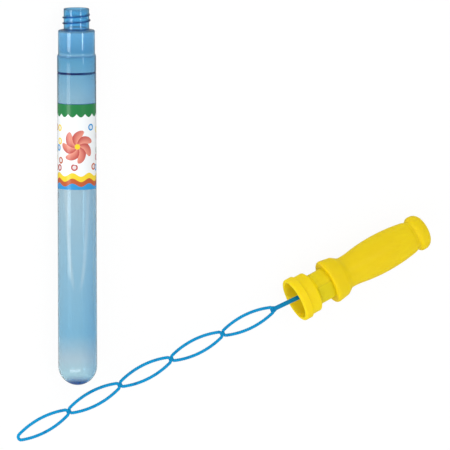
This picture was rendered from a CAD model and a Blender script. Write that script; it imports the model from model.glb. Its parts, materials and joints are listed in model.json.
"""Bubble wand: a blue tube for soap solution, and the yellow-handled loop wand that screws into it.

Sizes are in millimetres. Depths along the tube run down from its mouth, and distances along the wand run
from the cap's rim, with the handle on the plus side and the loops on the minus side.
"""

from __future__ import annotations

import json
import logging
import math
from dataclasses import dataclass
from enum import Enum
from typing import Any

import bmesh
import bpy
from mathutils import Matrix, Vector


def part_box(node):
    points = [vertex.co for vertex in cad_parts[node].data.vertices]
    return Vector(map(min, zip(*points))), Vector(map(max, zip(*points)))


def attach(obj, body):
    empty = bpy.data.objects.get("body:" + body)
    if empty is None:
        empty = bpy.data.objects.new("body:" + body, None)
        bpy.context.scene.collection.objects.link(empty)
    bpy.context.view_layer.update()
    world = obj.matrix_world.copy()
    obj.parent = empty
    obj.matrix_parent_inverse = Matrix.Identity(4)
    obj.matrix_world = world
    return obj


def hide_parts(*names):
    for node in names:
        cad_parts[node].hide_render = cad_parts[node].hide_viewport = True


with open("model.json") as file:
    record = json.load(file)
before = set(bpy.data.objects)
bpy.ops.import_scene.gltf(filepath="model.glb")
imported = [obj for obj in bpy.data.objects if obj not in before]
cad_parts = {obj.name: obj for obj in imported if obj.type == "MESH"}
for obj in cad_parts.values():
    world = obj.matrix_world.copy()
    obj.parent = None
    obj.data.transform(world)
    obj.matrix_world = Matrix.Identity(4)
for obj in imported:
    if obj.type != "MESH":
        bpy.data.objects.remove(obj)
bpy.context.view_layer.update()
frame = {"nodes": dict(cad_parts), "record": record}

Shape = bmesh.types.BMesh
Tree = bpy.types.NodeTree
Socket = bpy.types.NodeSocket
Material = bpy.types.Material
Layer = tuple[Socket, Any]  # where a colour lies, and the colour

LOG = logging.getLogger("bubble_wand")
MM = 0.001
MERGE = 1e-4  # points closer than this become one
TURN_STEPS = 128
SHARP = math.radians(60)  # edges that turn more than this are rounded
CREASE = math.radians(38)  # edges that turn more than this are shaded as creases
ORIGIN = (0.0, 0.0, 0.0)
Y_AXIS = (0.0, 1.0, 0.0)
Z_AXIS = (0.0, 0.0, 1.0)
WHITE = (1.0, 1.0, 1.0, 1.0)
LABEL_TOP = 69.0
LABEL_LENGTH = 62.4
FACING = math.radians(-111.7)  # angle round the tube of the side that is looked at


class Body(Enum):
    """The two halves, which come apart."""

    TUBE = "tube"
    WAND = "wand"


class Slot(Enum):
    """The record's material slots that new pieces take."""

    TUBE = "tube_plastic"
    LABEL = "label_film"
    HANDLE = "handle_plastic"
    STICK = "stick_plastic"


def linear(colour: str) -> tuple[float, float, float, float]:
    """Turns an sRGB hex colour into linear light.

    Args:
        colour: Six hex digits after a hash sign.

    Returns:
        Red, green, blue and an alpha of 1.
    """
    shares = [int(colour[i : i + 2], 16) / 255 for i in (1, 3, 5)]
    light = [s / 12.92 if s <= 0.04045 else ((s + 0.055) / 1.055) ** 2.4 for s in shares]
    return light[0], light[1], light[2], 1.0


def per_metre(size: float) -> float:
    """Texture scale at which one feature is size millimetres wide."""
    return 1 / (size * MM)


def wire(tree: Tree, node: bpy.types.Node, inputs: dict[str | int, Any]) -> None:
    """Sets a node's inputs, or links them where the value is another node's output.

    Args:
        tree: The node tree.
        node: The node to set.
        inputs: Values or output sockets, by input name or place.
    """
    for key, value in inputs.items():
        if isinstance(value, Socket):
            tree.links.new(value, node.inputs[key])
        else:
            node.inputs[key].default_value = value


def add_node(
    tree: Tree, kind: str, inputs: dict[str | int, Any] | None = None, out: str | int = 0, **settings: Any
) -> Socket:
    """Adds a node with its settings and its links.

    Args:
        tree: The node tree.
        kind: The node's type, without its ShaderNode prefix.
        inputs: Values or output sockets, by input name or place.
        out: Name or place of the output that is wanted.
        settings: Properties of the node.

    Returns:
        That output of the new node.
    """
    node = tree.nodes.new("ShaderNode" + kind)
    for name, value in settings.items():
        setattr(node, name, value)
    wire(tree, node, inputs or {})
    return node.outputs[out]


def new_material(name: str) -> tuple[Material, Tree, bpy.types.Node]:
    """Makes a node material.

    Args:
        name: The material's name.

    Returns:
        The material, its node tree and its Principled shader.
    """
    material = bpy.data.materials.new(name)
    material.use_nodes = True
    return material, material.node_tree, material.node_tree.nodes["Principled BSDF"]


@dataclass(frozen=True)
class TubePlastic:
    """Blow-moulded PET with a light blue dye.

    The eye sees through it, and sees it darken towards the edges, where light runs a long way through
    the wall. The dye is deep in the thick neck, the thread and the corner of the shoulder, and pales
    where blowing has stretched the wall thin. Slow ripples in the wall bend the highlights.
    """

    mouth: Vector
    facing: Vector
    length: float
    mark_depth: float
    name: str = "blue_pet_blow_moulded"
    # Depths below the mouth: lip, neck, corner of the shoulder, shoulder, step, body, label, round end.
    tints: tuple[tuple[float, str], ...] = (
        (0.0, "#87BBD8"),
        (5.0, "#7CD6F9"),
        (14.2, "#8CD8FC"),
        (14.6, "#0E2470"),
        (15.5, "#0E2470"),
        (15.7, "#A6DEFC"),
        (31.5, "#88C8E7"),
        (33.6, "#C8E8F6"),
        (34.7, "#6AA8D4"),
        (35.6, "#92D0EA"),
        (64.0, "#C4E4F3"),
        (136.0, "#D7EBF4"),
        (238.0, "#B7E1F3"),
        (256.0, "#DEECF3"),
        (271.0, "#DAF4FA"),
        (273.6, "#2F68B0"),
    )
    ridge_from: float = 9.4
    ridge_to: float = 9.9
    ridge_end: float = 14.5
    ridge_colour: str = "#4480C4"
    ridge_side_from: float = 5.5
    ridge_side_to: float = 9.0
    ridge_side_colour: str = "#0C2A74"
    mark_half: float = 1.1
    mark_colour: str = "#0E2E78"
    band_from: float = 128.0
    band_to: float = 208.0
    band_spread: float = 8.6
    band_bow: float = 0.4
    band_half: float = 2.2
    band_fade: float = 0.15
    band_depth: float = 0.45
    band_colour: str = "#F4FAFC"
    shade_reach: float = 14.2
    shade_depth: float = 0.3
    shade_colour: str = "#86C0E4"
    label_line_half: float = 0.5
    label_line_colour: str = "#5C84BE"
    absorbed_colour: str = "#76D3ED"
    absorption: float = 110.0
    roughness: float = 0.05
    ior: float = 1.57
    clearness: float = 0.84
    ripple: float = 14.0
    ripple_height: float = 0.05
    ripple_strength: float = 0.5

    def material(self) -> Material:
        """Builds the material."""
        material, tree, shader = new_material(self.name)
        place = add_node(tree, "TexCoord", out="Object")
        offset = add_node(tree, "VectorMath", {0: place, 1: self.mouth}, operation="SUBTRACT")
        along = add_node(tree, "SeparateXYZ", {0: offset}, "Y")
        right = Vector((self.facing.z, 0.0, -self.facing.x))
        beside = add_node(tree, "VectorMath", {0: offset, 1: right}, "Value", operation="DOT_PRODUCT")
        reach = add_node(tree, "Math", {0: beside}, operation="ABSOLUTE")
        shade = {"From Min": 0.0, "From Max": self.shade_reach * MM, "To Max": self.shade_depth}
        thicker = add_node(tree, "MapRange", {"Value": beside, **shade}, interpolation_type="SMOOTHSTEP")
        ends = {"From Min": 0.0, "From Max": -self.length * MM}
        depth = add_node(tree, "MapRange", {"Value": along, **ends})
        tint = add_node(tree, "ValToRGB", {0: depth})
        stops = tint.node.color_ramp.elements
        while len(stops) < len(self.tints):
            stops.new(1.0)
        for stop, (at, colour) in zip(stops, self.tints):
            stop.position = at / self.length
            stop.color = linear(colour)
        for mask, colour in (
            *self._ridge(tree, offset, along, reach),
            (self._line(tree, offset, along, self.mark_depth, self.mark_half), self.mark_colour),
            (self._line(tree, offset, along, LABEL_TOP, self.label_line_half), self.label_line_colour),
            (self._bands(tree, along, reach), self.band_colour),
            (thicker, self.shade_colour),
        ):
            tint = add_node(tree, "Mix", {0: mask, 6: tint, 7: linear(colour)}, 2, data_type="RGBA")
        ripples = add_node(
            tree, "TexNoise", {"Vector": place, "Scale": per_metre(self.ripple), "Detail": 1.0}
        )
        bump = {"Strength": self.ripple_strength, "Distance": self.ripple_height * MM}
        look = {
            "Base Color": tint,
            "Roughness": self.roughness,
            "IOR": self.ior,
            "Transmission Weight": self.clearness,
            "Normal": add_node(tree, "Bump", {"Height": ripples, **bump}),
        }
        wire(tree, shader, look)
        dye = {"Color": linear(self.absorbed_colour), "Density": self.absorption}
        wire(tree, tree.nodes["Material Output"], {"Volume": add_node(tree, "VolumeAbsorption", dye)})
        return material

    def _ridge(self, tree: Tree, offset: Socket, along: Socket, reach: Socket) -> list[Layer]:
        """Finds the thread's ridge by its distance from the tube's axis.

        Args:
            tree: The material's node tree.
            offset: The place, from the middle of the mouth.
            along: Its part along the axis, which falls towards the round end.
            reach: How far it lies beside the tube's front line.

        Returns:
            The ridge, and its deeper colour at the neck's sides, where it is looked at edge on.
        """
        across = add_node(tree, "VectorMath", {0: offset, 1: (1.0, 0.0, 1.0)}, operation="MULTIPLY")
        radius = add_node(tree, "VectorMath", {0: across}, "Value", operation="LENGTH")
        rise = {"From Min": self.ridge_from * MM, "From Max": self.ridge_to * MM}
        proud = add_node(tree, "MapRange", {"Value": radius, **rise})
        in_neck = add_node(tree, "Math", {0: along, 1: -self.ridge_end * MM}, operation="GREATER_THAN")
        ridge = add_node(tree, "Math", {0: proud, 1: in_neck}, operation="MULTIPLY")
        turn = {"From Min": self.ridge_side_from * MM, "From Max": self.ridge_side_to * MM}
        aside = add_node(tree, "MapRange", {"Value": reach, **turn}, interpolation_type="SMOOTHSTEP")
        side = add_node(tree, "Math", {0: aside, 1: ridge}, operation="MULTIPLY")
        return [(ridge, self.ridge_colour), (side, self.ridge_side_colour)]

    def _line(self, tree: Tree, offset: Socket, along: Socket, depth: float, half: float) -> Socket:
        """Draws a soft line round the front half of the tube.

        Args:
            tree: The material's node tree.
            offset: The place, from the middle of the mouth.
            along: Its part along the axis.
            depth: The line's depth below the mouth.
            half: Half the line's width.

        Returns:
            1 on the line and 0 elsewhere.
        """
        above = add_node(tree, "Math", {0: along, 1: depth * MM}, operation="ADD")
        distance = add_node(tree, "Math", {0: above}, operation="ABSOLUTE")
        fade = {"From Min": half * MM, "From Max": half * MM / 2}
        near = add_node(tree, "MapRange", {"Value": distance, **fade}, interpolation_type="SMOOTHSTEP")
        forward = add_node(
            tree, "VectorMath", {0: offset, 1: self.facing}, "Value", operation="DOT_PRODUCT"
        )
        in_front = add_node(tree, "Math", {0: forward, 1: 0.0}, operation="GREATER_THAN")
        return add_node(tree, "Math", {0: near, 1: in_front}, operation="MULTIPLY")

    def _bands(self, tree: Tree, along: Socket, reach: Socket) -> Socket:
        """Draws the two pale flow bands under the label, which run together lower down.

        Args:
            tree: The material's node tree.
            along: The place along the axis, from the mouth.
            reach: How far it lies beside the tube's front line.

        Returns:
            The strength of the bands.
        """
        span = {"From Min": -self.band_to * MM, "From Max": -self.band_from * MM}
        fall = add_node(tree, "MapRange", {"Value": along, **span})
        bow = add_node(tree, "Math", {0: fall, 1: self.band_bow}, operation="POWER")
        spread = add_node(tree, "Math", {0: bow, 1: self.band_spread * MM}, operation="MULTIPLY")
        miss = add_node(tree, "Math", {0: reach, 1: spread}, operation="SUBTRACT")
        distance = add_node(tree, "Math", {0: miss}, operation="ABSOLUTE")
        fade = {"From Min": self.band_half * MM, "From Max": 0.0}
        near = add_node(tree, "MapRange", {"Value": distance, **fade}, interpolation_type="SMOOTHSTEP")
        strength = add_node(
            tree, "MapRange", {"Value": fall, "From Max": self.band_fade, "To Max": self.band_depth}
        )
        below = add_node(tree, "Math", {0: along, 1: -self.band_from * MM}, operation="LESS_THAN")
        drawn = add_node(tree, "Math", {0: near, 1: strength}, operation="MULTIPLY")
        return add_node(tree, "Math", {0: drawn, 1: below}, operation="MULTIPLY")


@dataclass(frozen=True)
class LabelPrint:
    """Printed polypropylene film with a gloss varnish.

    The eye sees crisp flat inks on a white ground: a green scalloped border, a coral pinwheel among
    small rings, and three waves. A clear shine over them carries the studio's lights.
    """

    width: float
    height: float
    name: str = "label_polypropylene_printed"
    white: str = "#E4E8EA"
    green: str = "#0C7A3C"
    blue: str = "#1B8CCB"
    coral: str = "#B5403C"
    coral_light: str = "#E2937F"
    orange: str = "#B9531F"
    yellow: str = "#E8CB1D"
    border_bottom: float = 53.0
    border_swing: float = 2.4
    border_count: int = 14
    wheel_at: tuple[float, float] = (0.5, 31.5)
    wheel_radius: float = 12.4
    wheel_inner: float = 0.66
    wheel_petals: int = 7
    wheel_swirl: float = 0.09
    wheel_hub: float = 2.0
    wheel_margin: float = 0.9
    ring_cell: float = 7.0
    ring_scatter: float = 0.5
    ring_share: float = 0.36
    ring_hole: float = 0.58
    ring_paleness: float = 0.75
    rings_from: float = 15.5
    rings_to: float = 49.5
    waves: tuple[tuple[float, float, int], ...] = ((11.0, 1.3, 7), (7.0, 1.3, 7), (3.4, 1.2, 7))
    roughness: float = 0.34
    ior: float = 1.49
    varnish: float = 0.8
    varnish_roughness: float = 0.1

    def material(self) -> Material:
        """Builds the material."""
        material, tree, shader = new_material(self.name)
        flat = add_node(tree, "UVMap", uv_map=Label.UV)
        size = (self.width, self.height, 0.0)
        place = add_node(tree, "VectorMath", {0: flat, 1: size}, operation="MULTIPLY")
        ink = linear(self.white)
        for mask, colour in (
            *self._rings(tree, place),
            *self._pinwheel(tree, place),
            *self._border(tree, place),
            *self._waves(tree, place),
        ):
            ink = add_node(tree, "Mix", {0: mask, 6: ink, 7: colour}, 2, data_type="RGBA")
        look = {
            "Base Color": ink,
            "Roughness": self.roughness,
            "IOR": self.ior,
            "Coat Weight": self.varnish,
            "Coat Roughness": self.varnish_roughness,
        }
        wire(tree, shader, look)
        return material

    def _wheel_centre(self) -> tuple[float, float, float]:
        """Finds the pinwheel's middle on the flat label."""
        return self.width / 2 + self.wheel_at[0], self.wheel_at[1], 0.0

    def _rings(self, tree: Tree, place: Socket) -> list[Layer]:
        """Scatters small rings over the middle of the label.

        Args:
            tree: The material's node tree.
            place: The place on the flat label, in millimetres.

        Returns:
            The rings in five inks, and the pale discs inside them.
        """
        scatter = {"Scale": 1 / self.ring_cell, "Randomness": self.ring_scatter}
        distance = add_node(tree, "TexVoronoi", {"Vector": place, **scatter}, voronoi_dimensions="2D")
        ring_at = distance.node.outputs["Position"]
        pick = add_node(tree, "SeparateXYZ", {0: distance.node.outputs["Color"]}, "X")
        ink = add_node(tree, "ValToRGB", {0: pick})
        ink.node.color_ramp.interpolation = "CONSTANT"
        stops = ink.node.color_ramp.elements
        inks = (self.blue, self.coral, self.yellow, self.green, self.orange)
        while len(stops) < len(inks):
            stops.new(1.0)
        for i, (stop, colour) in enumerate(zip(stops, inks)):
            stop.position = i / len(inks)
            stop.color = linear(colour)
        height = add_node(tree, "SeparateXYZ", {0: ring_at}, "Y")
        middle = (self.rings_from + self.rings_to) / 2
        reach = (self.rings_to - self.rings_from) / 2
        in_band = add_node(tree, "Math", {0: height, 1: middle, 2: reach}, operation="COMPARE")
        apart = add_node(
            tree, "VectorMath", {0: ring_at, 1: self._wheel_centre()}, "Value", operation="DISTANCE"
        )
        clear = self.wheel_radius + self.ring_cell * self.ring_share
        off_wheel = add_node(tree, "Math", {0: apart, 1: clear}, operation="GREATER_THAN")
        drawn = add_node(tree, "Math", {0: in_band, 1: off_wheel}, operation="MULTIPLY")
        pale = add_node(
            tree, "Mix", {0: self.ring_paleness, 6: ink, 7: linear(self.white)}, 2, data_type="RGBA"
        )
        layers: list[Layer] = []
        for share, colour in ((self.ring_share, ink), (self.ring_share * self.ring_hole, pale)):
            inside = add_node(tree, "Math", {0: distance, 1: share}, operation="LESS_THAN")
            mask = add_node(tree, "Math", {0: inside, 1: drawn}, operation="MULTIPLY")
            layers.append((mask, colour))
        return layers

    def _pinwheel(self, tree: Tree, place: Socket) -> list[Layer]:
        """Draws one large pinwheel, with each petal shaded from light to deep.

        Args:
            tree: The material's node tree.
            place: The place on the flat label, in millimetres.

        Returns:
            The white margin, the petals and the hub.
        """
        offset = add_node(tree, "VectorMath", {0: place, 1: self._wheel_centre()}, operation="SUBTRACT")
        radius = add_node(tree, "VectorMath", {0: offset}, "Value", operation="LENGTH")
        across = add_node(tree, "SeparateXYZ", {0: offset}, "X")
        angle = add_node(tree, "Math", {0: across.node.outputs["Y"], 1: across}, operation="ARCTAN2")
        swirl = add_node(tree, "Math", {0: radius, 1: self.wheel_swirl}, operation="MULTIPLY")
        petals = self.wheel_petals / math.tau
        petal = add_node(tree, "Math", {0: angle, 1: petals, 2: swirl}, operation="MULTIPLY_ADD")
        share = add_node(tree, "Math", {0: petal}, operation="FRACT")
        turn = add_node(tree, "Math", {0: share, 1: math.pi}, operation="MULTIPLY")
        bow = add_node(tree, "Math", {0: turn}, operation="SINE")
        inner = self.wheel_radius * self.wheel_inner
        reach = add_node(tree, "MapRange", {"Value": bow, "To Min": inner, "To Max": self.wheel_radius})
        inks = {6: linear(self.coral_light), 7: linear(self.coral)}
        dye = add_node(tree, "Mix", {0: share, **inks}, 2, data_type="RGBA")
        layers: list[Layer] = []
        for limit, colour in (
            (self.wheel_radius + self.wheel_margin, linear(self.white)),
            (reach, dye),
            (self.wheel_hub, linear(self.yellow)),
        ):
            mask = add_node(tree, "Math", {0: radius, 1: limit}, operation="LESS_THAN")
            layers.append((mask, colour))
        return layers

    def _border(self, tree: Tree, place: Socket) -> list[Layer]:
        """Hangs a green border with scallops from the upper edge.

        Args:
            tree: The material's node tree.
            place: The place on the flat label, in millimetres.

        Returns:
            The border.
        """
        across = add_node(tree, "SeparateXYZ", {0: place}, "X")
        scallops = math.pi * self.border_count / self.width
        turn = add_node(tree, "Math", {0: across, 1: scallops}, operation="MULTIPLY")
        wave = add_node(tree, "Math", {0: turn}, operation="SINE")
        bow = add_node(tree, "Math", {0: wave}, operation="ABSOLUTE")
        top = self.border_bottom + self.border_swing
        edge = add_node(tree, "Math", {0: bow, 1: -self.border_swing, 2: top}, operation="MULTIPLY_ADD")
        above = add_node(tree, "Math", {0: across.node.outputs["Y"], 1: edge}, operation="GREATER_THAN")
        return [(above, linear(self.green))]

    def _waves(self, tree: Tree, place: Socket) -> list[Layer]:
        """Runs three waves along the lower edge.

        Args:
            tree: The material's node tree.
            place: The place on the flat label, in millimetres.

        Returns:
            The waves, from the highest to the lowest.
        """
        across = add_node(tree, "SeparateXYZ", {0: place}, "X")
        height = across.node.outputs["Y"]
        layers: list[Layer] = []
        for (middle, swing, count), colour in zip(self.waves, (self.yellow, self.orange, self.blue)):
            crests = math.tau * count / self.width
            turn = add_node(tree, "Math", {0: across, 1: crests}, operation="MULTIPLY")
            wave = add_node(tree, "Math", {0: turn}, operation="SINE")
            crest = add_node(tree, "Math", {0: wave, 1: swing, 2: middle}, operation="MULTIPLY_ADD")
            below = add_node(tree, "Math", {0: height, 1: crest}, operation="LESS_THAN")
            layers.append((below, linear(colour)))
        return layers


@dataclass(frozen=True)
class HandlePlastic:
    """Injection-moulded polyethylene with a yellow dye.

    The eye sees a soft satin skin with a fine spark-eroded grain, dye that is a little uneven, and thin
    edges that glow because light passes into them.
    """

    name: str = "yellow_polyethylene_moulded"
    colour: str = "#E9C906"
    deep_colour: str = "#E3BE08"
    cloud: float = 26.0
    grain: float = 0.7  # the real grain is about 0.1 mm, drawn coarse enough to show
    grain_height: float = 0.02
    grain_strength: float = 0.4
    roughness: float = 0.42
    rub: float = 7.0
    rub_swing: float = 0.08
    ior: float = 1.5
    shine: float = 0.2
    glow: float = 0.7
    glow_reach: float = 3.5
    glow_shares: tuple[float, float, float] = (1.0, 0.95, 0.15)

    def material(self) -> Material:
        """Builds the material."""
        material, tree, shader = new_material(self.name)
        place = add_node(tree, "TexCoord", out="Object")
        cloud, rub, grain = (
            add_node(tree, "TexNoise", {"Vector": place, "Scale": per_metre(size), "Detail": detail})
            for size, detail in ((self.cloud, 2.0), (self.rub, 3.0), (self.grain, 1.0))
        )
        dyes = {6: linear(self.colour), 7: linear(self.deep_colour)}
        gloss = {"To Min": self.roughness - self.rub_swing, "To Max": self.roughness + self.rub_swing}
        bump = {"Strength": self.grain_strength, "Distance": self.grain_height * MM}
        look = {
            "Base Color": add_node(tree, "Mix", {0: cloud, **dyes}, 2, data_type="RGBA"),
            "Roughness": add_node(tree, "MapRange", {"Value": rub, **gloss}),
            "IOR": self.ior,
            "Specular IOR Level": self.shine,
            "Subsurface Weight": self.glow,
            "Subsurface Radius": self.glow_shares,
            "Subsurface Scale": self.glow_reach * MM,
            "Normal": add_node(tree, "Bump", {"Height": grain, **bump}),
        }
        wire(tree, shader, look)
        return material


@dataclass(frozen=True)
class StickPlastic:
    """Injection-moulded polypropylene with a bright blue dye.

    The eye sees a smooth shine on the stem, and on the loops a row of fine ribs with darker grooves.
    """

    name: str = "blue_polypropylene_moulded"
    colour: str = "#0098D0"
    groove_colour: str = "#007EB0"
    fleck_colour: str = "#006AA4"
    fleck: float = 3.2
    fleck_from: float = 0.52
    fleck_to: float = 0.72
    fleck_depth: float = 0.7
    roughness_from: float = 0.3
    roughness_to: float = 0.44
    ior: float = 1.49
    shine: float = 0.12
    glow: float = 0.08
    glow_reach: float = 1.0
    glow_shares: tuple[float, float, float] = (0.1, 0.7, 1.0)

    def material(self) -> Material:
        """Builds the material."""
        material, tree, shader = new_material(self.name)
        place = add_node(tree, "TexCoord", out="Object")
        dye = linear(self.colour)
        groove = add_node(tree, "Attribute", out="Fac", attribute_name=Stick.GROOVE)
        flecks = add_node(
            tree, "TexNoise", {"Vector": place, "Scale": per_metre(self.fleck), "Detail": 2.0}
        )
        reach = {"From Min": self.fleck_from, "From Max": self.fleck_to, "To Max": self.fleck_depth}
        dark = add_node(tree, "MapRange", {"Value": flecks, **reach})
        for mask, colour in ((groove, self.groove_colour), (dark, self.fleck_colour)):
            dye = add_node(tree, "Mix", {0: mask, 6: dye, 7: linear(colour)}, 2, data_type="RGBA")
        gloss = {"To Min": self.roughness_from, "To Max": self.roughness_to}
        look = {
            "Base Color": dye,
            "Roughness": add_node(tree, "MapRange", {"Value": flecks, **gloss}),
            "IOR": self.ior,
            "Specular IOR Level": self.shine,
            "Subsurface Weight": self.glow,
            "Subsurface Radius": self.glow_shares,
            "Subsurface Scale": self.glow_reach * MM,
        }
        wire(tree, shader, look)
        return material


@dataclass(frozen=True)
class SealFoam:
    """Die-cut polyethylene foam.

    The eye sees a matt off-white face with small closed cells.
    """

    name: str = "white_polyethylene_foam"
    colour: str = "#ECEBE4"
    cell_colour: str = "#D9D6CB"
    cell: float = 0.5
    cell_depth: float = 0.08
    cell_strength: float = 0.6
    roughness: float = 0.85

    def material(self) -> Material:
        """Builds the material."""
        material, tree, shader = new_material(self.name)
        place = add_node(tree, "TexCoord", out="Object")
        cells = add_node(
            tree, "TexVoronoi", {"Vector": place, "Scale": per_metre(self.cell)}, "Distance"
        )
        bump = {"Height": cells, "Strength": self.cell_strength, "Distance": self.cell_depth * MM}
        tones = {6: linear(self.colour), 7: linear(self.cell_colour)}
        look = {
            "Base Color": add_node(tree, "Mix", {0: cells, **tones}, 2, data_type="RGBA"),
            "Roughness": self.roughness,
            "Normal": add_node(tree, "Bump", bump),
        }
        wire(tree, shader, look)
        return material


class Outline:
    """A wire outline that is spun into a turned body. X is the radius and Z the axis."""

    CORNER_STEPS = 6

    def __init__(self, radius: float, height: float) -> None:
        """Starts the outline at a point."""
        self.mesh = bmesh.new()
        self.pen = self.mesh.verts.new((radius, 0.0, height))
        self.roundings: list[tuple[bmesh.types.BMVert, float]] = []

    def lines(self, *corners: tuple[float, float, float]) -> None:
        """Draws straight lines from corner to corner.

        Args:
            corners: Each corner's distance from the axis, place along it, and rounding radius.
        """
        for radius, height, rounding in corners:
            corner = self.mesh.verts.new((radius, 0.0, height))
            self.mesh.edges.new((self.pen, corner))
            if rounding > 0:
                self.roundings.append((corner, rounding))
            self.pen = corner

    def arc(self, radius: float, height: float, turn: float, steps: int) -> None:
        """Draws an arc from the pen's place.

        Args:
            radius: The arc centre's distance from the axis.
            height: The arc centre's place along the axis.
            turn: Angle of the arc in radians, from +X towards -Z.
            steps: Number of straight pieces.
        """
        made = bmesh.ops.spin(
            self.mesh, geom=[self.pen], cent=(radius, 0.0, height), axis=Y_AXIS, angle=turn, steps=steps
        )
        self.pen = next(v for v in made["geom_last"] if isinstance(v, bmesh.types.BMVert))

    def turned(self) -> Shape:
        """Rounds the corners and spins the outline about Z.

        Returns:
            The turned body, with its faces pointing outwards.
        """
        mesh = self.mesh
        for corner, rounding in self.roundings:
            sides = [edge.other_vert(corner).co - corner.co for edge in corner.link_edges]
            half_angle = sides[0].angle(sides[1]) / 2
            bevel(mesh, [corner], "VERTICES", rounding / math.tan(half_angle), self.CORNER_STEPS)
        wires = mesh.verts[:] + mesh.edges[:]
        bmesh.ops.spin(
            mesh, geom=wires, cent=ORIGIN, axis=Z_AXIS, angle=math.tau, steps=TURN_STEPS, use_merge=True
        )
        merge(mesh)
        return mesh


def merge(shape: Shape) -> None:
    """Merges points that lie together and points the faces outwards."""
    bmesh.ops.remove_doubles(shape, verts=shape.verts[:], dist=MERGE)
    bmesh.ops.recalc_face_normals(shape, faces=shape.faces[:])


def move(shape: Shape, matrix: Matrix) -> None:
    """Moves or turns a whole shape."""
    bmesh.ops.transform(shape, matrix=matrix, verts=shape.verts[:])


def join(target: Shape, part: Shape) -> None:
    """Adds one shape to another, and frees it.

    Args:
        target: The shape that grows.
        part: The shape that is added.
    """
    holder = bpy.data.meshes.new("holder")
    part.to_mesh(holder)
    target.from_mesh(holder)
    bpy.data.meshes.remove(holder)
    part.free()


def sweep(corners: tuple[tuple[float, float], ...], turn: float, steps: int, rise: float = 0.0) -> Shape:
    """Sweeps a closed outline about Z.

    Args:
        corners: Radius and height of each corner.
        turn: Angle of the sweep, in radians.
        steps: Number of straight pieces.
        rise: How far each piece climbs.

    Returns:
        The swept shape, with both ends filled and its faces pointing outwards.
    """
    shape = bmesh.new()
    points = [shape.verts.new((radius, 0.0, height)) for radius, height in corners]
    edges = [shape.edges.new((points[i - 1], points[i])) for i in range(len(points))]
    wires = points + edges
    climb = (0.0, 0.0, rise)
    bmesh.ops.spin(shape, geom=wires, cent=ORIGIN, axis=Z_AXIS, dvec=climb, angle=turn, steps=steps)
    bmesh.ops.holes_fill(shape, edges=[e for e in shape.edges if e.is_boundary], sides=0)
    bmesh.ops.recalc_face_normals(shape, faces=shape.faces[:])
    return shape


def bevel(shape: Shape, geom: list[Any], affect: str, offset: float, steps: int) -> None:
    """Rounds corners or edges.

    Args:
        shape: The shape.
        geom: The corners or the edges.
        affect: Which of the two they are, VERTICES or EDGES.
        offset: How far the rounding reaches along the neighbouring sides.
        steps: Number of straight pieces across it.
    """
    bmesh.ops.bevel(
        shape, geom=geom, affect=affect, offset=offset, segments=steps, profile=0.5, material=-1
    )


def round_edges(shape: Shape, radius: float, steps: int) -> None:
    """Rounds every sharp edge of a shape to a radius."""
    bevel(shape, [e for e in shape.edges if e.calc_face_angle(0.0) > SHARP], "EDGES", radius, steps)


@dataclass
class Thread:
    """A screw thread's ridge on a round wall."""

    wall: float
    crest: float
    start: float
    turns: float
    pitch: float = 4.2
    foot_width: float = 1.7
    crest_width: float = 0.8
    root: float = 0.4
    steps: int = 60
    fade: int = 9

    def shape(self) -> Shape:
        """Sweeps the ridge along its helix, with both ends fading into the wall.

        Returns:
            The ridge, along Z.
        """
        foot = self.wall - math.copysign(self.root, self.crest - self.wall)
        corners = (
            (foot, self.start - self.foot_width / 2),
            (self.crest, self.start - self.crest_width / 2),
            (self.crest, self.start + self.crest_width / 2),
            (foot, self.start + self.foot_width / 2),
        )
        steps = round(self.steps * self.turns)
        shape = sweep(corners, math.tau * self.turns, steps, self.pitch / self.steps)
        shape.verts.ensure_lookup_table()
        for step in range(steps + 1):
            share = min(1.0, (step + 1) / self.fade, (steps - step + 1) / self.fade)
            top = self.wall + (self.crest - self.wall) * share
            first = step * len(corners)
            crest = shape.verts[first + 1 : first + 3]
            bmesh.ops.scale(shape, vec=(top / self.crest, top / self.crest, 1.0), verts=crest)
        return shape


def add_piece(
    name: str, shape: Shape, place: Matrix, material: Material, body: Body, node: str
) -> None:
    """Puts a shape into the scene as a piece that stands for a CAD node.

    Args:
        name: The piece's name.
        shape: Its shape, in millimetres in its own frame. It is freed.
        place: Turns that frame into the row frame, in metres.
        material: Its finish.
        body: The half that it moves with.
        node: The CAD node that it stands for.
    """
    move(shape, place)
    mesh = bpy.data.meshes.new(name)
    shape.to_mesh(mesh)
    shape.free()
    mesh.materials.append(material)
    mesh.polygons.foreach_set("use_smooth", [True] * len(mesh.polygons))
    mesh.set_sharp_from_angle(angle=CREASE)
    piece = bpy.data.objects.new(name, mesh)
    bpy.context.scene.collection.objects.link(piece)
    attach(piece, body.value)
    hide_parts(node)
    LOG.info("%s: %d faces, on %s, for %s", name, len(mesh.polygons), body.value, node)


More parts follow.
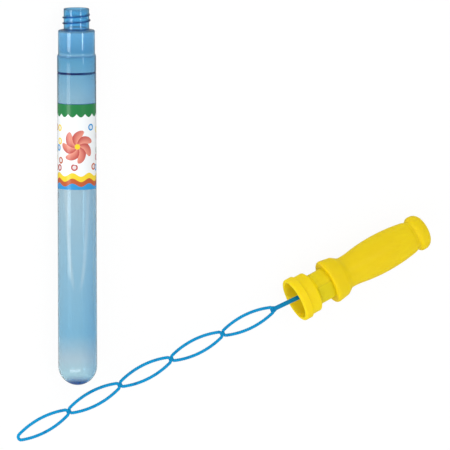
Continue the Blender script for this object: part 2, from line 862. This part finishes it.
@dataclass
class Bottle:
    """The tube: a round end, a stepped shoulder and a threaded neck."""

    place: Matrix
    radius: float
    length: float
    wall: float = 1.0
    neck_radius: float = 9.3
    neck_length: float = 15.7
    bore: float = 7.9
    lip_round: float = 0.6
    thread_radius: float = 10.2
    thread_start: float = -12.6
    thread_turns: float = 2.0
    shoulder_radius: float = 13.4
    shoulder_end: float = 32.9
    step_end: float = 34.6
    edge: float = 1.0
    mark_depth: float = 46.7
    mark_height: float = 0.9
    mark_groove: float = 0.2
    label_recess: float = 0.27
    arc_steps: int = 24

    def shape(self) -> Shape:
        """Turns the wall, inside and out, and adds the thread.

        Returns:
            The bottle, with its mouth at the origin and its axis along Z.
        """
        round_at = -(self.length - self.radius)
        inner = self.radius - self.wall
        shoulder_inner = self.shoulder_radius - self.wall
        under_neck = -self.neck_length - self.wall
        recess = self.radius - self.label_recess
        groove = self.radius - self.mark_groove
        label_end = -LABEL_TOP - LABEL_LENGTH
        outline = Outline(0.0, round_at - inner)
        outline.arc(0.0, round_at, -math.pi / 2, self.arc_steps)
        outline.lines(
            (inner, -self.step_end - self.wall, 0.0),
            (shoulder_inner, -self.shoulder_end - self.wall, 0.0),
            (shoulder_inner, under_neck, self.edge),
            (self.bore, under_neck, 0.0),
            (self.bore, 0.0, self.lip_round),
            (self.neck_radius, 0.0, self.lip_round),
            (self.neck_radius, -self.neck_length, self.edge),
            (self.shoulder_radius, -self.neck_length, self.edge),
            (self.shoulder_radius, -self.shoulder_end, self.edge),
            (self.radius, -self.step_end, self.edge),
            (self.radius, -self.mark_depth + self.mark_height / 2, 0.0),
            (groove, -self.mark_depth + self.mark_height / 4, 0.0),
            (groove, -self.mark_depth - self.mark_height / 4, 0.0),
            (self.radius, -self.mark_depth - self.mark_height / 2, 0.0),
            (self.radius, -LABEL_TOP, 0.0),
            (recess, -LABEL_TOP, 0.0),
            (recess, label_end, 0.0),
            (self.radius, label_end, 0.0),
            (self.radius, round_at, 0.0),
        )
        outline.arc(0.0, round_at, math.pi / 2, self.arc_steps)
        shape = outline.turned()
        ridge = Thread(self.neck_radius, self.thread_radius, self.thread_start, self.thread_turns)
        join(shape, ridge.shape())
        return shape

    def build(self) -> None:
        """Adds the bottle to the scene."""
        finish = TubePlastic(
            mouth=self.place.translation,
            facing=Vector((math.cos(FACING), 0.0, -math.sin(FACING))),
            length=self.length,
            mark_depth=self.mark_depth,
        ).material()
        add_piece("bottle", self.shape(), self.place, finish, Body.TUBE, "tube_bottle")


@dataclass
class Label:
    """The printed film round the tube, with its seam on the side away from the camera."""

    place: Matrix
    radius: float
    thickness: float = 0.25
    seam_gap: float = 0.5
    steps: int = 160

    UV = "label_print"

    def shape(self) -> Shape:
        """Sweeps the film round the tube and lays its print flat.

        Returns:
            The label, along Z, with a UV map that runs once round it and from bottom to top.
        """
        inner = self.radius - self.thickness
        top = -LABEL_TOP
        bottom = top - LABEL_LENGTH
        gap = self.seam_gap / self.radius
        corners = ((inner, bottom), (self.radius, bottom), (self.radius, top), (inner, top))
        shape = sweep(corners, math.tau - gap, self.steps)
        move(shape, Matrix.Rotation(gap / 2, 4, "Z"))
        layer = shape.loops.layers.uv.new(self.UV)
        for face in shape.faces:
            for corner in face.loops:
                at = corner.vert.co
                turn = math.atan2(at.y, at.x) % math.tau
                corner[layer].uv = (turn / math.tau, (at.z - bottom) / LABEL_LENGTH)
        move(shape, Matrix.Rotation(FACING - math.pi, 4, "Z"))
        return shape

    def build(self) -> None:
        """Adds the label to the scene."""
        finish = LabelPrint(width=math.tau * self.radius, height=LABEL_LENGTH).material()
        add_piece("label_film", self.shape(), self.place, finish, Body.TUBE, "label")


@dataclass
class Handle:
    """The cap that screws onto the tube, and the hollow grip that snaps over the cap's neck."""

    place: Matrix
    rim_radius: float
    rim_length: float = 6.6
    rim_edge: float = 1.3
    ring_radius: float = 15.3
    ring_end: float = 14.3
    ring_edge: float = 0.3
    neck_radius: float = 11.7
    neck_start: float = 17.0
    edge: float = 1.0
    skirt_bore: float = 13.6
    skirt_flare: float = 0.9
    seat: float = 13.2
    thread_bore: float = 10.45
    thread_crest: float = 9.55
    thread_start: float = 17.6
    thread_turns: float = 1.5
    bulkhead_front: float = 30.5
    bulkhead_back: float = 32.5
    spigot_end: float = 38.4
    snap_radius: float = 12.2
    snap_at: float = 30.65
    snap_height: float = 1.4
    hub_radius: float = 4.0
    hub_end: float = 44.5
    hub_floor: float = 1.5
    stem_hole: float = 1.7
    land_start: float = 16.0
    land_end: float = 30.6
    land_height: float = 0.7
    land_root: float = 0.5
    land_from: float = 166.0
    land_angle: float = 64.0
    land_edge: float = 0.3
    land_edge_steps: int = 3
    land_steps: int = 24
    collar_front: float = 28.4
    collar_front_radius: float = 16.3
    collar_front_round: float = 1.6
    collar_radius: float = 16.69
    collar_lip: float = 2.2
    collar_back: float = 38.8
    collar_back_radius: float = 15.3
    collar_back_round: float = 2.5
    collar_hole: float = 11.75
    waist_radius: float = 12.0
    waist_front: float = 43.6
    waist_front_round: float = 4.0
    waist_back: float = 47.5
    waist_back_round: float = 8.0
    bulge_from: float = 52.0
    bulge_at: float = 75.0
    bulge_radius: float = 14.35
    bulge_arc: float = 136.0
    bulge_steps: int = 40
    groove_at: float = 102.4
    groove_half: float = 1.2
    groove_radius: float = 11.3
    groove_round: float = 0.6
    knob_radius: float = 13.4
    knob_end: float = 113.98
    knob_front_round: float = 3.0
    knob_round: float = 6.5
    grip_wall: float = 1.1
    cap_finish: HandlePlastic = HandlePlastic("lemon_polyethylene_moulded", "#E6CE08", "#E1C50A")
    grip_finish: HandlePlastic = HandlePlastic()

    def cap(self) -> Shape:
        """Turns the cap with its bulkhead and hub, and adds its thread and the land on its neck.

        Returns:
            The cap, with its rim at the origin and the wand's axis along Z.
        """
        hub_bottom = self.hub_end - self.hub_floor
        outline = Outline(0.0, hub_bottom)
        outline.lines(
            (self.stem_hole, hub_bottom, 0.0),
            (self.stem_hole, self.bulkhead_front, 0.0),
            (self.thread_bore, self.bulkhead_front, 0.0),
            (self.thread_bore, self.seat, 0.0),
            (self.skirt_bore, self.seat, 0.0),
            (self.skirt_bore, 2 * self.skirt_flare, 0.0),
            (self.skirt_bore + self.skirt_flare, 0.0, self.ring_edge),
            (self.rim_radius, 0.0, self.rim_edge),
            (self.rim_radius, self.rim_length, self.edge),
            (self.ring_radius, self.rim_length, self.ring_edge),
            (self.ring_radius, self.ring_end, self.edge),
            (self.neck_radius, self.neck_start, self.edge),
            (self.neck_radius, self.snap_at, 0.0),
            (self.snap_radius, self.snap_at, 0.0),
            (self.snap_radius, self.snap_at + self.snap_height / 2, 0.0),
            (self.neck_radius, self.snap_at + self.snap_height, 0.0),
            (self.neck_radius, self.spigot_end, 0.0),
            (self.thread_bore, self.spigot_end, 0.0),
            (self.thread_bore, self.bulkhead_back, 0.0),
            (self.hub_radius, self.bulkhead_back, 0.0),
            (self.hub_radius, self.hub_end, self.edge),
            (0.0, self.hub_end, 0.0),
        )
        shape = outline.turned()
        ridge = Thread(self.thread_bore, self.thread_crest, self.thread_start, self.thread_turns)
        join(shape, ridge.shape())
        join(shape, self.land())
        return shape

    def land(self) -> Shape:
        """Sweeps the raised land along one side of the cap's neck.

        Returns:
            The land, with rounded edges.
        """
        inner = self.neck_radius - self.land_root
        outer = self.neck_radius + self.land_height
        corners = (
            (inner, self.land_start),
            (outer, self.land_start),
            (outer, self.land_end),
            (inner, self.land_end),
        )
        shape = sweep(corners, math.radians(self.land_angle), self.land_steps)
        round_edges(shape, self.land_edge, self.land_edge_steps)
        move(shape, Matrix.Rotation(math.radians(self.land_from), 4, "Z"))
        return shape

    def grip(self) -> Shape:
        """Turns the grip's outside and gives it its wall.

        Returns:
            The hollow grip, along Z.
        """
        bulge_end = self.groove_at - 2 * self.groove_half
        sweep_in = math.asin((self.bulge_at - self.bulge_from) / self.bulge_arc)
        sweep_out = math.asin((bulge_end - self.bulge_at) / self.bulge_arc)
        centre = self.bulge_radius - self.bulge_arc
        outline = Outline(self.collar_hole, self.collar_front)
        outline.lines(
            (self.collar_front_radius, self.collar_front, self.collar_front_round),
            (self.collar_radius, self.collar_front + self.collar_lip, self.edge),
            (self.collar_back_radius, self.collar_back, self.collar_back_round),
            (self.waist_radius, self.waist_front, self.waist_front_round),
            (self.waist_radius, self.waist_back, self.waist_back_round),
            (centre + self.bulge_arc * math.cos(sweep_in), self.bulge_from, 0.0),
        )
        outline.arc(centre, self.bulge_at, -sweep_in - sweep_out, self.bulge_steps)
        outline.lines(
            (self.groove_radius, self.groove_at - self.groove_half / 2, self.groove_round),
            (self.groove_radius, self.groove_at + self.groove_half / 2, self.groove_round),
            (self.knob_radius, self.groove_at + 2 * self.groove_half, self.knob_front_round),
            (self.knob_radius, self.knob_end, self.knob_round),
            (0.0, self.knob_end, 0.0),
        )
        shape = outline.turned()
        bmesh.ops.solidify(shape, geom=shape.faces[:], thickness=self.grip_wall)
        return shape

    def build(self) -> None:
        """Adds the cap and the grip to the scene."""
        for name, shape, finish, node in (
            ("cap", self.cap(), self.cap_finish, "screw_cap"),
            ("grip", self.grip(), self.grip_finish, "grip_shell"),
        ):
            add_piece(name, shape, self.place, finish.material(), Body.WAND, node)


@dataclass
class Stick:
    """The stick: a plain stem and a chain of long loops with finely ribbed strands."""

    place: Matrix
    loop_count: int = 5
    loop_pitch: float = 43.8
    loop_first: float = -38.95
    half_length: float = 21.3
    half_width: float = 5.45
    end_radius: float = 2.4
    strand_radius: float = 1.25
    strand_sides: int = 12
    rib_pitch: float = 1.7
    rib_depth: float = 0.2
    rib_steps: int = 4
    knot_radius: float = 1.8
    knot_thickness: float = 2.8
    knot_edge: float = 0.9
    knot_edge_steps: int = 4
    knot_sides: int = 32
    stem_radius: float = 1.65
    stem_start: float = -17.65
    stem_end: float = 42.5
    stem_edge: float = 0.5
    bend_at: float = 18.0
    stem_bend: float = 3.3
    loop_bend: float = 0.6
    web_width: float = 6.6
    web_length: float = 6.5
    web_back: float = 2.2
    web_thickness: float = 2.0
    web_edge: float = 0.5
    web_edge_steps: int = 3

    GROOVE = "groove"

    def loop(self) -> Shape:
        """Sweeps a round strand along one closed loop and presses the ribs into it.

        Returns:
            The loop, in the XY plane about the origin.
        """
        reach = self.half_length - self.end_radius
        side_radius = (reach**2 + self.half_width**2 - self.end_radius**2) / (
            2 * (self.half_width - self.end_radius)
        )
        sink = side_radius - self.half_width
        end_turn = math.atan2(sink, reach)
        side_turn = math.pi - 2 * end_turn
        step = self.rib_pitch / self.rib_steps
        end_steps = round(end_turn * self.end_radius / step / 2) * 2
        side_steps = round(side_turn * side_radius / step / 2) * 2
        shape = bmesh.new()
        groove = shape.verts.layers.float.new(self.GROOVE)
        bmesh.ops.create_circle(shape, segments=self.strand_sides, radius=self.strand_radius)
        upright = Matrix.Rotation(math.pi / 2, 4, "X")
        move(shape, Matrix.Translation((self.half_length, 0.0, 0.0)) @ upright)
        last = shape.verts[:] + shape.edges[:]
        for centre, turn, steps in (
            ((reach, 0.0, 0.0), end_turn, end_steps),
            ((0.0, -sink, 0.0), side_turn, side_steps),
            ((-reach, 0.0, 0.0), 2 * end_turn, 2 * end_steps),
            ((0.0, sink, 0.0), side_turn, side_steps),
            ((reach, 0.0, 0.0), end_turn, end_steps),
        ):
            made = bmesh.ops.spin(shape, geom=last, cent=centre, axis=Z_AXIS, angle=turn, steps=steps)
            last = made["geom_last"]
        shape.verts.ensure_lookup_table()
        for first in range(0, len(shape.verts), self.strand_sides):
            ring = shape.verts[first : first + self.strand_sides]
            phase = math.tau * first / self.strand_sides / self.rib_steps
            depth = (1 - math.cos(phase)) / 2
            share = 1 - depth * self.rib_depth / self.strand_radius
            middle = sum((v.co for v in ring), Vector()) / self.strand_sides
            bmesh.ops.scale(shape, vec=(share,) * 3, space=Matrix.Translation(-middle), verts=ring)
            for vert in ring:
                vert[groove] = depth
        merge(shape)
        return shape

    def smooth(self, shape: Shape) -> None:
        """Gives a part without ribs the deeper dye of the grooves."""
        groove = shape.verts.layers.float.new(self.GROOVE)
        for vert in shape.verts:
            vert[groove] = 1.0

    def knot(self) -> Shape:
        """Makes the flat rounded knot where two loops meet.

        Returns:
            The knot, about the origin.
        """
        shape = bmesh.new()
        bmesh.ops.create_cone(
            shape,
            cap_ends=True,
            segments=self.knot_sides,
            radius1=self.knot_radius,
            radius2=self.knot_radius,
            depth=self.knot_thickness,
        )
        round_edges(shape, self.knot_edge, self.knot_edge_steps)
        self.smooth(shape)
        return shape

    def stem(self) -> Shape:
        """Turns the stem, lays it along X and bends its outer length.

        Returns:
            The stem.
        """
        outline = Outline(0.0, self.stem_start)
        outline.lines(
            (self.stem_radius, self.stem_start, 0.0),
            (self.stem_radius, self.bend_at, 0.0),
            (self.stem_radius, self.stem_end, self.stem_edge),
            (0.0, self.stem_end, 0.0),
        )
        shape = outline.turned()
        move(shape, Matrix.Rotation(math.pi / 2, 4, "Y"))
        outer = [v for v in shape.verts if v.co.x < self.bend_at - MERGE]
        bmesh.ops.transform(shape, matrix=self.bent(), verts=outer)
        return shape

    def web(self) -> Shape:
        """Makes the flat web that spreads from the stem to the first loop.

        Returns:
            The web, with rounded edges.
        """
        shape = bmesh.new()
        back = self.stem_start - self.web_back
        half = self.web_thickness / 2
        corners = [
            shape.verts.new((back, -self.web_width / 2, -half)),
            shape.verts.new((self.stem_start + self.web_length, 0.0, -half)),
            shape.verts.new((back, self.web_width / 2, -half)),
        ]
        made = bmesh.ops.extrude_face_region(shape, geom=[shape.faces.new(corners)], use_keep_orig=True)
        lifted = [v for v in made["geom"] if isinstance(v, bmesh.types.BMVert)]
        bmesh.ops.translate(shape, vec=(0.0, 0.0, self.web_thickness), verts=lifted)
        bmesh.ops.recalc_face_normals(shape, faces=shape.faces[:])
        round_edges(shape, self.web_edge, self.web_edge_steps)
        move(shape, self.bent())
        return shape

    def bent(self) -> Matrix:
        """Turns the stick's outer length about the stem's bend."""
        bend = Matrix.Translation((self.bend_at, 0.0, 0.0))
        return bend @ Matrix.Rotation(math.radians(-self.stem_bend), 4, "Z") @ bend.inverted()

    def shape(self) -> Shape:
        """Joins the stem, the web, and the loops and knots of the bowed chain.

        Returns:
            The stick, along X.
        """
        shape = self.stem()
        join(shape, self.web())
        self.smooth(shape)
        start = self.bent() @ Matrix.Translation((self.loop_first + self.loop_pitch / 2, 0.0, 0.0))
        to_centre = Matrix.Translation((-self.loop_pitch / 2, 0.0, 0.0))
        turn = Matrix.Rotation(math.radians(self.loop_bend), 4, "Z")
        to_next = Matrix.Translation((-self.loop_pitch, 0.0, 0.0)) @ turn
        for i in range(self.loop_count):
            loop = self.loop()
            move(loop, start @ to_centre)
            join(shape, loop)
            if i > 0:
                knot = self.knot()
                move(knot, start)
                join(shape, knot)
            start = start @ to_next
        return shape

    def build(self) -> None:
        """Adds the stick to the scene."""
        finish = StickPlastic().material()
        add_piece("stick", self.shape(), self.place, finish, Body.WAND, "wand_stick")


@dataclass(frozen=True)
class Lamp:
    """A soft rectangular studio lamp. Places and sizes are in millimetres, and power in watts."""

    name: str
    place: tuple[float, float, float]
    aim: tuple[float, float, float]
    width: float
    length: float
    power: float

    def build(self) -> None:
        """Adds the lamp, turned to its aim, with its length as near to Y as that allows."""
        data = bpy.data.lights.new(self.name, "AREA")
        data.shape = "RECTANGLE"
        data.size = self.width * MM
        data.size_y = self.length * MM
        data.energy = self.power
        lamp = bpy.data.objects.new(self.name, data)
        bpy.context.scene.collection.objects.link(lamp)
        back = (Vector(self.place) - Vector(self.aim)).normalized()
        along = Vector(Y_AXIS)
        along = (along - back * along.dot(back)).normalized()
        lamp.matrix_world = Matrix((along.cross(back), along, back)).transposed().to_4x4()
        lamp.location = Vector(self.place) * MM


@dataclass(frozen=True)
class Studio:
    """The plain white table, the soft lamps and the camera."""

    aim: tuple[float, float, float] = (3.98, -6.51, 10.0)
    distance: float = 12000.0
    lean_left: float = 21.68
    lean_back: float = 6.3
    roll: float = -0.16
    lens: float = 1311.4
    floor_size: float = 6000.0
    floor_colour: str = "#F4F4F4"
    floor_roughness: float = 0.9
    seen_white: float = 0.93
    reflected: float = 0.2
    sky: float = 0.99
    lamps: tuple[Lamp, ...] = (
        Lamp("left_softbox", (-690.0, -20.0, 215.0), (-114.0, -20.0, 14.0), 240.0, 191.0, 0.25),
        Lamp("left_back_softbox", (-690.0, 215.0, 215.0), (-114.0, 215.0, 14.0), 240.0, 230.0, 0.7),
        Lamp("top_strip", (130.0, 72.0, 790.0), (-114.0, 72.0, 14.0), 110.0, 26.0, 0.02),
        Lamp("top_back_strip", (130.0, 215.0, 790.0), (-114.0, 215.0, 14.0), 110.0, 230.0, 0.45),
        Lamp("cap_fill", (-480.0, -420.0, 560.0), (60.0, -60.0, 16.0), 900.0, 260.0, 1.5),
        Lamp("front_fill", (500.0, -700.0, 700.0), (60.0, -40.0, 14.0), 900.0, 900.0, 0.8),
    )

    def looked_at(self, tree: Tree) -> Socket:
        """Finds how white a ray sees the room.

        Args:
            tree: The floor's or the world's node tree.

        Returns:
            1 for rays from the camera, straight or through the tube, less for mirrored rays, else 0.
        """
        seen = add_node(tree, "LightPath", out="Is Camera Ray")
        through = seen.node.outputs["Is Transmission Ray"]
        glossy = seen.node.outputs["Is Glossy Ray"]
        straight = add_node(tree, "Math", {0: seen, 1: through}, operation="MAXIMUM")
        mirrored = add_node(tree, "Math", {0: glossy, 1: self.reflected}, operation="MULTIPLY")
        return add_node(tree, "Math", {0: straight, 1: mirrored}, operation="MAXIMUM")

    def floor(self) -> None:
        """Lays a white floor that keeps a faint shadow."""
        shape = bmesh.new()
        bmesh.ops.create_grid(shape, x_segments=1, y_segments=1, size=self.floor_size / 2 * MM)
        mesh = bpy.data.meshes.new("floor")
        shape.to_mesh(mesh)
        shape.free()
        floor = bpy.data.objects.new("floor", mesh)
        bpy.context.scene.collection.objects.link(floor)
        material, tree, shader = new_material("white_table")
        colour = linear(self.floor_colour)
        look = {"Base Color": colour, "Roughness": self.floor_roughness, "Specular IOR Level": 0.0}
        wire(tree, shader, look)
        white = add_node(tree, "Emission", {"Color": WHITE, "Strength": self.looked_at(tree)})
        lighting = add_node(tree, "LightPath", out="Is Diffuse Ray")
        share = add_node(tree, "MapRange", {"Value": lighting, "To Min": self.seen_white, "To Max": 0.0})
        mixed = add_node(tree, "MixShader", {0: share, 1: shader.outputs[0], 2: white})
        wire(tree, tree.nodes["Material Output"], {"Surface": mixed})
        mesh.materials.append(material)

    def world(self) -> None:
        """Gives the room a white look and a soft even light."""
        world = bpy.data.worlds.new("studio")
        world.use_nodes = True
        tree = world.node_tree
        lighting = add_node(tree, "LightPath", out="Is Diffuse Ray")
        light = add_node(tree, "Math", {0: lighting, 1: self.sky}, operation="MULTIPLY")
        strength = add_node(tree, "Math", {0: self.looked_at(tree), 1: light}, operation="MAXIMUM")
        wire(tree, tree.nodes["Background"], {"Color": WHITE, "Strength": strength})
        bpy.context.scene.world = world

    def camera(self) -> None:
        """Sets up the camera at the photograph's viewing angle."""
        left = math.radians(self.lean_left)
        tilt = math.radians(self.lean_back)
        level = math.cos(tilt)
        back = Vector((-math.sin(left) * level, math.sin(tilt), math.cos(left) * level))
        right = Vector((math.cos(left), 0.0, math.sin(left)))
        turn = Matrix((right, back.cross(right), back)).transposed()
        data = bpy.data.cameras.new("camera")
        data.lens = self.lens
        camera = bpy.data.objects.new("camera", data)
        bpy.context.scene.collection.objects.link(camera)
        camera.matrix_world = (turn @ Matrix.Rotation(math.radians(self.roll), 3, "Z")).to_4x4()
        camera.location = (Vector(self.aim) + back * self.distance) * MM
        bpy.context.scene.camera = camera

    def build(self) -> None:
        """Builds the studio."""
        bpy.context.scene.view_settings.view_transform = "Standard"
        self.camera()
        self.world()
        self.floor()
        for lamp in self.lamps:
            lamp.build()


def mount(name: str) -> tuple[Vector, Vector]:
    """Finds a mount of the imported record.

    Args:
        name: The mount's name.

    Returns:
        Its place in metres and its axis.
    """
    found = next(m for m in frame["record"]["mounts"] if m["name"] == name)
    return Vector(found["pos_m"]), Vector(found["axis"])


def main() -> None:
    """Builds the studio and every piece, and reports them."""
    logging.basicConfig(level=logging.INFO, format="%(name)s: %(message)s")
    Studio().build()
    scale = Matrix.Scale(MM, 4)

    low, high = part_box("tube_bottle")
    middle = (low + high) / 2
    mouth = Vector((middle.x, high.y, middle.z))
    tube_place = Matrix.Translation(mouth) @ Matrix.Rotation(-math.pi / 2, 4, "X") @ scale
    radius = (high.x - low.x) / 2 / MM
    Bottle(place=tube_place, radius=radius, length=(high.y - low.y) / MM).build()
    Label(place=tube_place, radius=radius).build()

    rim, socket_axis = mount("cap_socket")
    heading = math.atan2(-socket_axis.y, -socket_axis.x)
    stick_place = Matrix.Translation(rim) @ Matrix.Rotation(heading, 4, "Z") @ scale
    handle_place = stick_place @ Matrix.Rotation(math.pi / 2, 4, "Y")
    low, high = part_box("screw_cap")
    Handle(place=handle_place, rim_radius=(high.z - low.z) / 2 / MM).build()
    Stick(place=stick_place).build()

    seal = frame["nodes"]["mouth_seal"]
    seal.data.materials.clear()
    seal.data.materials.append(SealFoam().material())
    LOG.info("mouth_seal: CAD node with its own foam finish")


if __name__ == "__main__":
    main()
